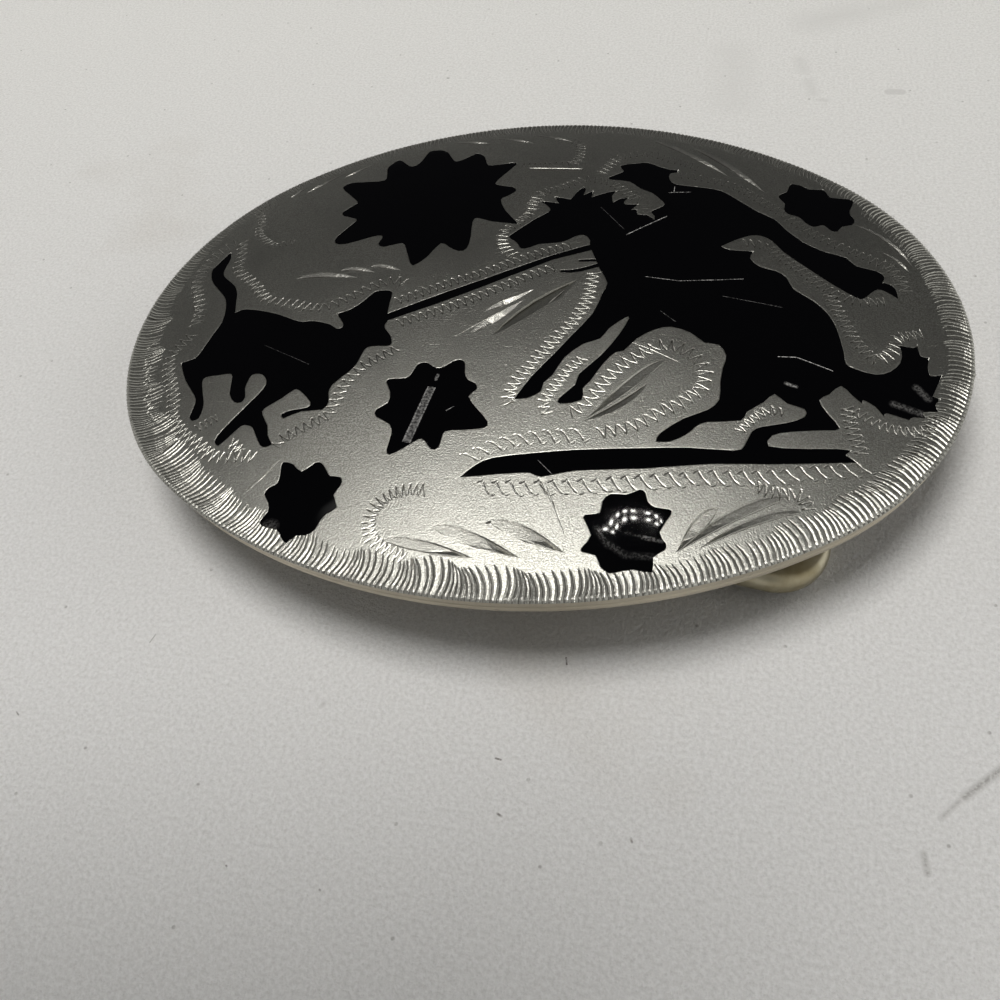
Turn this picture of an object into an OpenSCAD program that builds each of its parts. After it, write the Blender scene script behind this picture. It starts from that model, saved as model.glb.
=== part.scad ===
// Western belt buckle: a domed oval nickel silver plate, pierced and filled with black resin,
// with a hinged belt bail and a belt post on its back. Millimetres, +Z up. The origin is on the
// table under the middle of the plate; the post tip and the bail's outer bar stand on z = 0.

/* [Plate] */
// Length of the oval, end to end along X
plate_length = 89; // [87:0.5:91]
// Width of the oval, side to side along Y
plate_width = 71.2; // [70.6:0.2:72.2]
// Radius of the oval's two end arcs, in plan
end_radius = 31.2; // [30.6:0.2:31.8]
// Radius of the dome
dome_radius = 240; // [230:5:260]
// Thickness of the pierced face sheet
face_sheet = 1.3; // [1.0:0.1:1.5]
// Thickness of the backing sheet soldered under it
backing_sheet = 1.3; // [1.2:0.1:1.5]
// Lean of the edge wall, in under the face
wall_lean = 15; // [5:1:20]
// Height of the dome's middle above the table
crown_height = 12.8; // [12.4:0.1:13.4]

/* [Inlay] */
// Gap between the resin and the wall of its recess
inlay_gap = 0.05; // [0.03:0.01:0.08]

/* [Belt bail] */
// X of the hinge, from the middle of the plate
hinge_x = 11; // [9:0.5:12]
// Height of the hinge above the table
hinge_height = 6.5; // [6.2:0.1:6.6]
// Diameter of the pin along the hinge
pin_diameter = 2.4; // [2.0:0.1:2.6]
// Space round the pin in its tube, on the radius
pin_clearance = 0.06; // [0.04:0.01:0.09]
// Outside diameter of the tube
tube_diameter = 4.2; // [3.8:0.1:4.4]
// Clear width between the bail's arms, for the belt
belt_space = 47.5; // [45:0.5:48.5]
// Width of the bail's bars
bar_width = 3; // [2.6:0.1:3.2]
// Thickness of the bail's bars
bar_thickness = 2.5; // [2.2:0.1:2.6]
// X of the outer edge of the bail's outer bar
bail_reach = 31.5; // [30.5:0.5:32.5]
// Inside radius of the bail's two corners
corner_radius = 3; // [2:0.5:4]

/* [Belt post] */
// X of the post, to the left of the middle
post_x = -31; // [-32:0.5:-29]
// Diameter of the post
post_diameter = 4.4; // [4:0.1:5]
// Diameter of the post's soldered foot
foot_diameter = 6.8; // [6.4:0.2:7.4]
// Height of the foot's flat side above the table
foot_height = 7.2; // [6.8:0.1:7.3]

/* [Hidden] */

nickel_silver = [0.72, 0.71, 0.67];
tarnished_brass = [0.62, 0.52, 0.36];
black_resin = [0.03, 0.03, 0.035];
overlap = 0.3;
turned_facets = 64;

// Spheres of the dome: face, bottom of the recesses, back
dome_z = crown_height - dome_radius;
recess_radius = dome_radius - face_sheet;
back_radius = recess_radius - backing_sheet;

// The four-arc oval, taken at the height of the crown, from where the edge wall leans in
half_length = plate_length / 2;
half_width = plate_width / 2;
end_drop = dome_radius - sqrt(pow(dome_radius, 2) - pow(half_length, 2));
side_drop = dome_radius - sqrt(pow(dome_radius, 2) - pow(half_width, 2));
crown_a = half_length + end_drop * tan(wall_lean);
crown_b = half_width + side_drop * tan(wall_lean);
crown_end_radius = end_radius + (end_drop + side_drop) / 2 * tan(wall_lean);
end_x = crown_a - crown_end_radius;
crown_side_radius = (pow(crown_end_radius, 2) - pow(crown_b, 2) - pow(end_x, 2))
                    / (2 * (crown_end_radius - crown_b));
side_y = crown_side_radius - crown_b;
wall_height = end_drop + face_sheet + backing_sheet + 1;
join_x = crown_side_radius * end_x / norm([end_x, side_y]) - wall_height * tan(wall_lean);

// The bail: slope of its arms and the length from the hinge to the outer bar's middle
bar_round = 1;
bar_foot_x = bar_width / 2 - bar_round;
bar_foot_z = bar_thickness / 2 - bar_round;
arm_run = bail_reach - bar_width / 2 - hinge_x;
arm_drop = hinge_height - bar_thickness / 2;
arm_length = norm([arm_run, arm_drop]);
// the bar's rounded corner, not the middle of its foot, meets the table
bail_slope = asin((hinge_height - bar_round - bar_foot_x * arm_drop / arm_length
                   - bar_foot_z * arm_run / arm_length) / arm_length);
arm_y = belt_space / 2 + bar_width / 2;
turn_radius = corner_radius + bar_width / 2;
eye_diameter = 3.2;
tube_end_gap = 0.2;
saddle_width = 3;

// Height of the back of the plate above the table at a place in plan
function back_z(x, y) = dome_z + sqrt(pow(back_radius, 2) - x * x - y * y);

// Outlines are tables of rows: x, y, and a 1 on a row that is a sharp tip or a notch. A stretch
// between two rows gets one more point, on the smooth curve through its neighbours.
function xy(row) = [row[0], row[1]];
function beyond(p, i, j, k) = len(p[j]) == 3 ? 2 * xy(p[j]) - xy(p[k]) : xy(p[i]);
function curve(p) = let (n = len(p)) [
    for (i = [0 : n - 1])
        let (h = (i + n - 1) % n, j = (i + 1) % n, k = (i + 2) % n)
        each [xy(p[i]),
              (9 * (xy(p[i]) + xy(p[j])) - beyond(p, h, i, j) - beyond(p, k, j, i)) / 16]
];

// The calf, clockwise from the tip of its tail
calf_tail_right = [
    [-37.3, 9.8, 1], [-36.95, 8.9], [-36.8, 8], [-36.85, 6.4], [-36.5, 5.3], [-35.5, 4.3],
    [-34.3, 3.2], [-33.5, 1.8], [-33.1, 0.4], [-32.5, -1.6, 1]];
calf_back = [
    [-31.9, -1.2], [-31.2, -1.1], [-29.3, -1.5], [-26.9, -2.3], [-24.8, -3.3], [-23.6, -3.7],
    [-22.4, -3.6], [-20.4, -4.2], [-19.4, -4.9]];
calf_ears = [
    [-18.8, -4.7], [-18.9, -4], [-20, -2.6, 1], [-18.6, -2], [-17.4, -0.6], [-16.6, 0.7],
    [-15.4, 0.95], [-14.6, 0.6], [-14.5, -1], [-14.3, -2.8]];
calf_face = [
    [-14.05, -3.9], [-14.2, -4.4], [-14, -5], [-13.2, -6], [-12.8, -7.1], [-13.2, -7.45],
    [-14.8, -7.5], [-15.5, -8]];
calf_foreleg = [
    [-15.8, -9.8], [-16.3, -10.9], [-17.7, -12.8], [-17.8, -14], [-17.5, -15], [-17.9, -16],
    [-20, -16.2], [-21.7, -17.1, 1], [-22.05, -16.6], [-21, -16.1], [-19.5, -15.8], [-19.4, -15]];
calf_far_foreleg = [
    [-21, -13.5], [-21.7, -13.4], [-22.7, -14.5], [-24.2, -15.8], [-24.2, -16.6], [-23.2, -18],
    [-22.8, -19.2], [-22, -20.3, 1], [-22.5, -20.6], [-23.2, -20.4], [-24.1, -19.1], [-24.7, -18.2],
    [-25.4, -17.9], [-26.1, -18], [-27.1, -19.5], [-27.8, -20.4, 1], [-28.3, -20], [-28.2, -19],
    [-27, -16.7], [-25.5, -14], [-25, -12.6]];
calf_hind_leg = [
    [-25.5, -11.5], [-26.3, -11.05], [-27.1, -11.2], [-27.3, -12], [-27.3, -13.1], [-26.9, -14.2],
    [-27.1, -14.9], [-27.9, -14.8], [-28.8, -13.7], [-29.2, -11.8], [-29.6, -10.9], [-31, -11]];
calf_far_hind_leg = [
    [-32.5, -11.2], [-32.7, -12], [-31.6, -14.5], [-31.3, -15.5], [-31.3, -16.8], [-31.9, -17.1, 1],
    [-32.4, -16.6], [-32.4, -14.8], [-32.9, -13.7], [-34.8, -11.5], [-36.4, -8.9, 1], [-35, -8.4],
    [-34.5, -7.4], [-34, -4.8], [-33.6, -2.9]];
calf_tail_left = [
    [-33.9, -0.8], [-34.5, 0.8], [-35.3, 1.9], [-37.2, 3.9], [-38.1, 5.3], [-38.5, 6.7],
    [-38.3, 7.4]];

// The rope from the calf's neck to the rider's hand: x, top edge, bottom edge
rope = [
    [-15.2, -3.3, -4.3],
    [-14.2, -2.75, -3.85],
    [-9, 0.3, -1.1],
    [-5, 2.6, 1.4],
    [-1, 5.1, 4.1],
    [2, 7, 6.2],
    [6.8, 9.6, 8.5]];
// Two loose coils of it in front of the horse's chest
coil_upper = [
    [4.8, 6.25], [5.8, 6.4], [7.6, 6.75], [7.6, 6.4], [5.8, 6.1], [4.8, 6]];
coil_lower = [
    [3.1, 4.45], [4, 4.5], [5, 4.8], [6, 5.3], [7.6, 6.3], [8, 5.8], [6.2, 4.9], [5.2, 4.4],
    [4.2, 4.15], [3.1, 4.15]];

// The horse and rider, clockwise from the rider's rope hand
horse_muzzle = [
    [5.66, 8.9], [5.6, 9.7], [5.1, 10.5], [4.4, 10.7], [3.6, 10.2], [2.6, 9.35], [1, 9], [0, 8.8],
    [-0.9, 8.2], [-1.7, 8], [-2.1, 8.6], [-2.5, 9.2], [-3.4, 10]];
horse_forehead = [
    [-3, 10.8], [-1, 13.5], [0.3, 14.9], [0.2, 15.8], [-1, 17, 1], [1.2, 16.6, 1], [0.5, 17.9, 1],
    [2.4, 17.4, 1], [2.9, 19], [3.5, 20, 1], [3.8, 19.7], [3.65, 18.3, 1]];
horse_mane = [
    [4.7, 19.3, 1], [4.65, 17.9, 1], [6.2, 19], [7.3, 19.4, 1], [6.9, 18.4], [7.2, 17, 1],
    [8, 17.9], [8.8, 18.05, 1], [8.4, 17.4], [8.6, 16.8], [10, 16.9, 1], [9.3, 15.7, 1],
    [10, 15.8], [10.1, 14.9], [11.2, 14.9], [12.1, 14, 1]];
rider_chest = [
    [12.1, 14.8], [11.6, 15.6], [12.4, 16.4], [13, 17.2], [12.4, 18.2], [11.4, 19.4], [10, 20.2],
    [8.6, 21.6], [6.4, 21.9]];
rider_hat = [
    [6.1, 22.3, 1], [7, 23.1], [7.75, 23.9], [7.2, 25.05], [9, 25.7], [10.4, 25.95], [11.8, 25.1],
    [13.2, 24.6], [13.9, 24.65, 1], [13.8, 24.1], [13, 23.7]];
rider_back = [
    [13.1, 22.4], [14, 21.4], [17, 21.1], [19, 20.7], [20.8, 19.2], [23, 17.2], [25, 15.9],
    [26, 14.4], [27.8, 12.4], [29, 11.6], [30.4, 10.9], [32.4, 10.4]];
rider_boot = [
    [33.4, 9.2], [35.5, 8.8], [36.2, 8], [35.9, 7.1, 1], [36.9, 6.8], [37.3, 6], [37.4, 4.9, 1],
    [36.3, 5.7], [35.4, 5.9], [34.6, 5], [33.9, 4.1], [33.2, 4.2]];
rider_leg = [
    [31, 5.7], [28, 8.3], [26, 10.2], [24.8, 11.9], [23.6, 12.65], [22.4, 12.5], [20.8, 11.4],
    [19.4, 10.1, 1], [20.4, 9.6], [22.8, 9.7, 1]];
horse_rump = [
    [22.5, 8.5], [23.6, 7.2], [25.2, 6.8], [26.3, 5.9], [27, 4.2], [29, 2.7], [30.4, 1],
    [31.2, -1], [31.8, -4], [32, -5.6]];
horse_tail_top = [
    [33, -6.2], [34.8, -6.5], [36.2, -5.8], [37.2, -4.4], [37.4, -2.9], [37.15, -2.1, 1],
    [38.6, -2.1], [38.9, -1.6, 1], [39.1, -3.1], [39.9, -3.2, 1]];
horse_tail_ends = [
    [39.7, -4.5], [39.9, -5.6], [41, -5.2, 1], [40.4, -6.8], [39.9, -8.2, 1], [40.6, -8.4, 1],
    [40.1, -9.2], [40.3, -10, 1], [38.9, -10.3], [39.1, -11, 1], [38, -11.1], [37.6, -11.55, 1],
    [35.6, -11.1], [35.35, -11.55, 1], [34.6, -10.5], [33.5, -9.9], [33.4, -10.35, 1]];
horse_hock = [
    [32.6, -9.6], [31.5, -8.5], [30.4, -9.8], [29.45, -10.7], [30.2, -12.2], [31.3, -13.8],
    [30, -14.2], [27, -14.9], [25.3, -15.6]];
ground_under_hoof = [
    [25, -16.95], [28, -16.75], [31, -16.25], [32.25, -16.2, 1], [31.75, -16.75, 1],
    [32.7, -17.4, 1]];
ground_bottom = [
    [29, -18.15], [25, -18.9], [20, -19.6], [14, -20.9], [8, -21.8], [5.1, -22.75], [4, -22.4],
    [2, -22.65], [-2.3, -23.4, 1]];
ground_top = [
    [-1.1, -22], [0.4, -21.1], [4, -20.3], [8, -19.55], [14, -18.7], [18, -18.15], [22, -17.9],
    [22.9, -17.2]];
horse_near_hind_leg = [
    [23.5, -15.5], [24.4, -14.8], [26.6, -14], [28.2, -13], [28.2, -12], [26.6, -11.6],
    [25.4, -10.6], [24.4, -11.8], [22.9, -13.2], [22.4, -14.3], [19.4, -14.9]];
horse_hind_hoof = [
    [18.4, -15.6], [17.6, -16.6], [16.2, -17.6], [15, -17.75, 1], [15.3, -16.8], [17.2, -14.9],
    [19.4, -13.5], [20.4, -12.1], [20.4, -10], [20.55, -8], [20.8, -6.4]];
horse_belly = [
    [20, -5], [18.6, -4.9], [17.2, -3.7], [15.2, -3.1], [13.6, -3.7], [12, -5.1], [10.9, -6.9]];
horse_near_foreleg = [
    [10.1, -7.2], [9.1, -8.8], [8.1, -11.2], [7.5, -12.2], [7.6, -13.6], [5.7, -14.25],
    [5.5, -13.6], [6.8, -11.8], [7, -10.4], [8.8, -7.8], [10.2, -4.9], [11, -2.4]];
horse_far_foreleg = [
    [10.6, -2.25], [9.1, -4], [8.4, -5.5], [6.8, -6.4], [5.2, -8.4], [4.4, -10.7], [3.65, -11.8],
    [3.55, -12.9], [2.4, -13.8], [1.25, -14, 1], [2.4, -11.2], [4.2, -8], [5.5, -5.5]];
horse_chest = [
    [7.3, -2], [7.9, 1], [8.25, 2.8], [7.2, 5], [6, 8]];

// The five flowers, each clockwise from its top petal
flower_1 = [
    [-16.2, 29.4], [-17.1, 29.2], [-17.5, 27], [-18.1, 25.8], [-18.9, 25.8], [-20.2, 27.2],
    [-20.8, 27.4], [-21.5, 26.4], [-21.6, 25.2], [-21.1, 23.1], [-22, 22.5], [-25.4, 22.7],
    [-26.4, 22], [-26, 21], [-23.5, 18.2], [-23.6, 17.5], [-24.7, 16.1], [-24.3, 15.2],
    [-22.5, 14.4], [-22.7, 13.4], [-23.9, 11.1], [-23.8, 9.8], [-22.4, 9.5], [-19.6, 10.6],
    [-18.5, 10.8], [-18.2, 10.3], [-18.4, 9.2], [-17.6, 8.6], [-16, 9.1], [-15.1, 8.8],
    [-13.7, 5.5], [-13, 5.3], [-12, 6.7], [-11, 9], [-9.8, 8.2], [-8.6, 7.5], [-7.85, 8],
    [-7.85, 10.2], [-8.2, 12.8], [-7.8, 13.7], [-6, 13], [-3.5, 12.6], [-3.1, 12.8], [-4.8, 15.1],
    [-5.75, 17.3], [-5.2, 18], [-4.3, 19.1], [-4.8, 20], [-6.8, 20.5], [-6.9, 21.6], [-5.3, 25.1],
    [-5.8, 25.5], [-8.2, 25], [-9, 25.5], [-9.6, 27.2], [-10.6, 28.1], [-11.3, 27.6],
    [-12.6, 26.4], [-13.4, 26.6], [-14.6, 28.7], [-15.6, 29.4]];
flower_2 = [
    [-8.7, -9.8], [-8.2, -9.9], [-7.3, -10.5], [-6.5, -10.3], [-5.8, -9.6], [-5, -9.3],
    [-4.5, -9.8], [-4.3, -11], [-3.8, -11.9], [-3, -12.3], [-2.7, -13], [-3.35, -14],
    [-2.2, -15.5], [-0.9, -17], [-1.2, -17.7], [-3.2, -18.05], [-4.8, -18.3], [-5, -19.2],
    [-5.1, -20.2], [-5.7, -20.45], [-6.5, -19.5], [-7.2, -19.35], [-8.4, -20.4], [-9.6, -21.25],
    [-10, -20.7], [-9.95, -18.9], [-10.4, -17.7], [-12, -16.8], [-12.2, -16], [-11.2, -15.1],
    [-11.3, -13.7], [-12, -12.4], [-11.6, -12.05], [-10.1, -11.9], [-9.6, -11.2], [-9.3, -10.1]];
flower_3 = [
    [-20.1, -22.45], [-19, -22.7], [-17.9, -23.55], [-16.8, -22.5], [-16.1, -22.55],
    [-15.3, -23.5], [-14.9, -23.95], [-13.8, -24.05], [-13.6, -24.9], [-14.05, -26],
    [-13.4, -27.3], [-14.2, -28], [-14.65, -28.8], [-14.9, -29.7], [-15.6, -30.3],
    [-16.6, -30.4], [-17.3, -31.2], [-18, -30.5], [-18.6, -29.8], [-19.8, -29.6],
    [-20.55, -29.1], [-20, -28], [-20.3, -27], [-20.95, -26.1], [-20.7, -25.4], [-20, -24.9],
    [-19.95, -24], [-20.1, -23.2]];
flower_4 = [
    [14, -23.25], [14.5, -23.5], [14.8, -24.4], [15.5, -24.9], [16.7, -24.95], [16.9, -25.4],
    [16.05, -27.3], [16.7, -28.4], [16.6, -29], [15.7, -29.8], [15.75, -31.2], [14.2, -31.15],
    [13, -31.5], [12.2, -31.75], [11.4, -31.2], [10.9, -30.2], [9.7, -30], [9.7, -29.5],
    [10.3, -28.3], [9.4, -26.6], [9.9, -26.3], [10.8, -26], [10.9, -24.8], [11.5, -24],
    [12.9, -23.9]];
flower_5 = [
    [26.8, 23.55], [27.8, 23.4], [28.8, 22.75], [30.2, 23], [30.6, 22.4], [31.1, 21.5],
    [33, 21.65], [33.5, 21.1], [33.05, 19.4], [33.1, 18.4], [33.5, 17.6], [33.2, 16.6],
    [32.1, 16], [31.6, 15], [31, 15], [30.3, 15.8], [29.9, 15.8], [29.1, 15.35], [28.3, 15.9],
    [27.6, 16.9], [26.4, 17.3], [26, 18.2], [26.1, 19.2], [25.4, 20.4], [25.6, 21.1],
    [26.3, 21.8], [26.5, 22.8]];
flowers = [flower_1, flower_2, flower_3, flower_4, flower_5];

calf_outline = concat(calf_tail_right, calf_back, calf_ears, calf_face, calf_foreleg,
                      calf_far_foreleg, calf_hind_leg, calf_far_hind_leg, calf_tail_left);
horse_and_rider_outline = concat(horse_muzzle, horse_forehead, horse_mane, rider_chest, rider_hat,
                                 rider_back, rider_boot, rider_leg, horse_rump, horse_tail_top,
                                 horse_tail_ends, horse_hock, ground_under_hoof, ground_bottom,
                                 ground_top, horse_near_hind_leg, horse_hind_hoof, horse_belly,
                                 horse_near_foreleg, horse_far_foreleg, horse_chest);

module roping_shape() {
    polygon(curve(calf_outline));
    polygon(curve(horse_and_rider_outline));
    polygon(concat([for (r = rope) [r[0], r[1]]],
                   [for (i = [len(rope) - 1 : -1 : 0]) [rope[i][0], rope[i][2]]]));
    polygon(coil_upper);
    polygon(coil_lower);
}

module flower_shape(i) {
    polygon(curve(flowers[i]));
}

module dome_ball(r) {
    translate([0, 0, dome_z])
        sphere(r = r, $fn = turned_facets);
}

// A leaning wall round one arc of the oval, from the crown's height down
module arc_wall(x, y, r) {
    translate([x, y, crown_height - wall_height])
        cylinder(h = wall_height + overlap, r1 = r - wall_height * tan(wall_lean),
                 r2 = r + overlap * tan(wall_lean), $fn = 4 * turned_facets);
}

module oval_block() {
    arc_wall(end_x, 0, crown_end_radius);
    arc_wall(-end_x, 0, crown_end_radius);
    intersection() {
        arc_wall(0, side_y, crown_side_radius);
        arc_wall(0, -side_y, crown_side_radius);
        translate([-join_x, -plate_width, 0])
            cube([2 * join_x, 2 * plate_width, 2 * crown_height]);
    }
}

module sheets() {
    difference() {
        intersection() {
            oval_block();
            dome_ball(dome_radius);
        }
        dome_ball(back_radius);
    }
}

// A recess through the face sheet down to the backing sheet, wider than its inlay by the gap
module recess() {
    difference() {
        linear_extrude(height = 2 * crown_height)
            offset(delta = inlay_gap)
                children();
        dome_ball(recess_radius);
    }
}

// Tube for the bail's pin, on a saddle strip that fills the space up to the domed back
module hinge_tube() {
    tube_length = belt_space - 2 * tube_end_gap;
    difference() {
        union() {
            translate([hinge_x, tube_length / 2, hinge_height])
                rotate([90, 0, 0])
                    cylinder(h = tube_length, d = tube_diameter, $fn = turned_facets);
            intersection() {
                translate([hinge_x - saddle_width / 2, -tube_length / 2, hinge_height])
                    cube([saddle_width, tube_length, crown_height - hinge_height]);
                dome_ball(back_radius + overlap);
            }
        }
        translate([hinge_x, belt_space / 2, hinge_height])
            rotate([90, 0, 0])
                cylinder(h = belt_space, r = pin_diameter / 2 + pin_clearance, $fn = turned_facets);
    }
}

module belt_post() {
    r = post_diameter / 2;
    translate([post_x, 0, r])
        cylinder(h = back_z(post_x, 0) + overlap - r, r = r, $fn = turned_facets);
    translate([post_x, 0, foot_height])
        cylinder(h = back_z(post_x, 0) + overlap - foot_height, d = foot_diameter,
                 $fn = turned_facets);
    translate([post_x, 0, r])
        sphere(r = r, $fn = turned_facets);
}

module plate() {
    color(nickel_silver) {
        difference() {
            sheets();
            recess()
                roping_shape();
            for (i = [0 : len(flowers) - 1])
                recess()
                    flower_shape(i);
        }
        hinge_tube();
        belt_post();
    }
}

// Section of the bail's bars: a flat bar with rounded edges, centred
module bar_section() {
    square([bar_width, bar_thickness - 2 * bar_round], center = true);
    square([bar_width - 2 * bar_round, bar_thickness], center = true);
    for (x = [-bar_foot_x, bar_foot_x], y = [-bar_foot_z, bar_foot_z])
        translate([x, y])
            circle(r = bar_round, $fn = turned_facets);
}

// One arm of the bail with its eye on the pin and its corner, the arm on the +Y side
module arm_and_corner() {
    straight = arm_length - turn_radius;
    translate([0, arm_y, 0])
        rotate([90, 0, 90])
            linear_extrude(height = straight)
                bar_section();
    translate([0, arm_y + bar_width / 2, 0])
        rotate([90, 0, 0])
            cylinder(h = bar_width, d = eye_diameter, $fn = turned_facets);
    translate([straight, arm_y - turn_radius, 0])
        rotate_extrude(angle = 90, $fn = turned_facets)
            translate([turn_radius, 0])
                bar_section();
}

module bail() {
    color(tarnished_brass)
        translate([hinge_x, 0, hinge_height])
            rotate([0, bail_slope, 0]) {
                arm_and_corner();
                mirror([0, 1, 0])
                    arm_and_corner();
                translate([arm_length, arm_y - turn_radius, 0])
                    rotate([90, 0, 0])
                        linear_extrude(height = 2 * (arm_y - turn_radius))
                            bar_section();
                translate([0, arm_y, 0])
                    rotate([90, 0, 0])
                        cylinder(h = 2 * arm_y, d = pin_diameter, $fn = turned_facets);
            }
}

// Resin filling a recess, flush with the domed face and clear of the recess's walls and bottom
module inlay() {
    color(black_resin)
        difference() {
            intersection() {
                linear_extrude(height = 2 * crown_height)
                    children();
                dome_ball(dome_radius);
            }
            dome_ball(recess_radius + inlay_gap);
        }
}

module roping_inlay() {
    inlay()
        roping_shape();
}

module flower_inlay(i) {
    inlay()
        flower_shape(i);
}

plate();
bail();
roping_inlay();
flower_inlay(0);  // flower_inlay_1
flower_inlay(1);  // flower_inlay_2
flower_inlay(2);  // flower_inlay_3
flower_inlay(3);  // flower_inlay_4
flower_inlay(4);  // flower_inlay_5
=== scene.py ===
import bmesh
import bpy
import math
import random
from mathutils import Matrix, Vector, geometry, kdtree


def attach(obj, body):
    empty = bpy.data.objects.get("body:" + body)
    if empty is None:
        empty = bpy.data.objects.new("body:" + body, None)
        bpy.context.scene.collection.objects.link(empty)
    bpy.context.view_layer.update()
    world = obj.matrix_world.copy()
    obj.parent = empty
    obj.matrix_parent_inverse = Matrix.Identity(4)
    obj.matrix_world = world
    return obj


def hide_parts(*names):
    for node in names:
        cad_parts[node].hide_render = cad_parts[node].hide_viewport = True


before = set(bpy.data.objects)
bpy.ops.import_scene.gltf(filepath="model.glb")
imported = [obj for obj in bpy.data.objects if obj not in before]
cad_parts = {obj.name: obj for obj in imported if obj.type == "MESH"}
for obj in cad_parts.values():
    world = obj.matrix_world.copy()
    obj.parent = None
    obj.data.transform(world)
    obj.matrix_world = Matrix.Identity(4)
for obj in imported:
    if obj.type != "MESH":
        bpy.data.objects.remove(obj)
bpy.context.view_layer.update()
scene = bpy.context.scene


# Camera: a phone held over the near edge, at the place and turn found from the oval's rim. The
# three vectors are the picture's right and up and the way from the buckle back to the lens.
camera = bpy.data.objects.new("camera", bpy.data.cameras.new("camera"))
scene.collection.objects.link(camera)
picture_right = Vector((0.97822, 0.17418, -0.11294))
picture_up = Vector((-0.06800, 0.78291, 0.61841))
to_lens = Vector((0.19614, -0.59726, 0.77769))
turned = Matrix((picture_right, picture_up, to_lens)).transposed().to_4x4()
camera.matrix_world = Matrix.Translation((0.02020, -0.08177, 0.08457)) @ turned
camera.data.sensor_width = 36
camera.data.lens = 37.8
camera.data.clip_start = 0.005
scene.camera = camera


def linear(hex_colour):
    """An sRGB hex colour as linear red, green, blue and alpha."""
    parts = [int(hex_colour[i : i + 2], 16) / 255 for i in (0, 2, 4)]
    return [c / 12.92 if c <= 0.04045 else ((c + 0.055) / 1.055) ** 2.4 for c in parts] + [1]


def add(tree, kind, inputs=(), **settings):
    """Adds a shader node; an input is a value or another node's socket."""
    node = tree.nodes.new(kind)
    for key, value in settings.items():
        setattr(node, key, value)
    for key, value in dict(inputs).items():
        if isinstance(value, bpy.types.NodeSocket):
            tree.links.new(value, node.inputs[key])
        else:
            node.inputs[key].default_value = value
    return node


def material(name):
    """A new material: its node tree, its shader and the object's own coordinates in metres."""
    mat = bpy.data.materials.new(name)
    mat.use_nodes = True
    tree = mat.node_tree
    shader = tree.nodes["Principled BSDF"]
    place = tree.nodes.new("ShaderNodeTexCoord").outputs["Object"]
    return mat, tree, shader, place


def ramp(tree, value, low, high, to_low=0.0, to_high=1.0):
    """value between low and high, spread from to_low to to_high and held there."""
    node = add(tree, "ShaderNodeMapRange", {"Value": value, "From Min": low, "From Max": high,
                                            "To Min": to_low, "To Max": to_high})
    return node.outputs["Result"]


def maths(tree, operation, a, b=0.0):
    """The result of a sum on two values or sockets."""
    return add(tree, "ShaderNodeMath", {0: a, 1: b}, operation=operation).outputs[0]


def mix(tree, factor, a, b):
    """Colour a going to b as factor goes from 0 to 1; sockets 6, 7 and 2 hold the colours."""
    node = add(tree, "ShaderNodeMix", {0: factor, 6: a, 7: b}, data_type="RGBA")
    return node.outputs[2]


def finish_mesh(name, bm, mat, body):
    """Turns a bmesh in millimetres into a smooth piece that rides on a CAD body."""
    bmesh.ops.scale(bm, vec=(0.001, 0.001, 0.001), verts=bm.verts)
    mesh = bpy.data.meshes.new(name)
    bm.to_mesh(mesh)
    bm.free()
    mesh.materials.append(mat)
    mesh.shade_smooth()
    obj = bpy.data.objects.new(name, mesh)
    scene.collection.objects.link(obj)
    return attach(obj, body)


# Plate: two sheets of nickel silver, blanked to a four-arc oval, domed together and soldered;
# the face sheet is pierced for the resin and then engraved by hand with V-shaped cuts. Each cut
# is real relief here: its outline and its bottom line are edges of the face's mesh.
# Sizes here and below are in millimetres until finish_mesh.
CROWN = 12.8  # height of the face's middle over the table
DOME = 240.0  # radius of the face
FACE_SHEET, BACKING_SHEET = 1.3, 1.3
END_X, END_R = 13.3, 31.2  # centre and radius of the oval's end arcs
SIDE_Y, SIDE_R = 17.9, 53.5  # and of its side arcs
JOIN = math.atan2(SIDE_Y, END_X)  # the way out, as an angle, where the arcs meet
END_ARC, SIDE_ARC = END_R * JOIN, SIDE_R * (math.pi - 2 * JOIN)
RIM_LENGTH = 4 * END_ARC + 2 * SIDE_ARC
EDGE_EASE = 0.4  # the face ends this far in from the rim, where the eased edge starts
GAP = 0.05  # between the resin and the recess
LIP, LIP_DEPTH = 0.06, 0.01  # worn edge of a recess
rng = random.Random(11)  # unevenness of the hand work


def dome(x, y, depth=0.0):
    """Height of the dome's sphere, or of one depth mm under it."""
    return CROWN - DOME + math.sqrt((DOME - depth) ** 2 - x * x - y * y)


def rim_normal(x, y):
    """The way out of the oval's nearest arc, and the distance out from the rim."""
    angle = math.atan2(abs(y) + SIDE_Y, abs(x))
    if angle > JOIN:
        centre, radius = Vector((0, -math.copysign(SIDE_Y, y))), SIDE_R
    else:
        centre, radius = Vector((math.copysign(END_X, x), 0)), END_R
    out = Vector((x, y)) - centre
    return out.normalized(), out.length - radius


def rim_at(s):
    """Point of the rim s mm round it from the right end, counterclockwise, and the way out."""
    s = s % RIM_LENGTH
    if s < END_ARC or s > RIM_LENGTH - END_ARC:
        s = s if s < END_ARC else s - RIM_LENGTH
        centre, radius, angle = Vector((END_X, 0)), END_R, s / END_R
    elif s < END_ARC + SIDE_ARC:
        centre, radius, angle = Vector((0, -SIDE_Y)), SIDE_R, JOIN + (s - END_ARC) / SIDE_R
    elif s < 3 * END_ARC + SIDE_ARC:
        centre, radius = Vector((-END_X, 0)), END_R
        angle = math.pi - JOIN + (s - END_ARC - SIDE_ARC) / END_R
    else:
        centre, radius = Vector((0, SIDE_Y)), SIDE_R
        angle = math.pi + JOIN + (s - 3 * END_ARC - SIDE_ARC) / SIDE_R
    out = Vector((math.cos(angle), math.sin(angle)))
    return centre + radius * out, out


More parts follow.
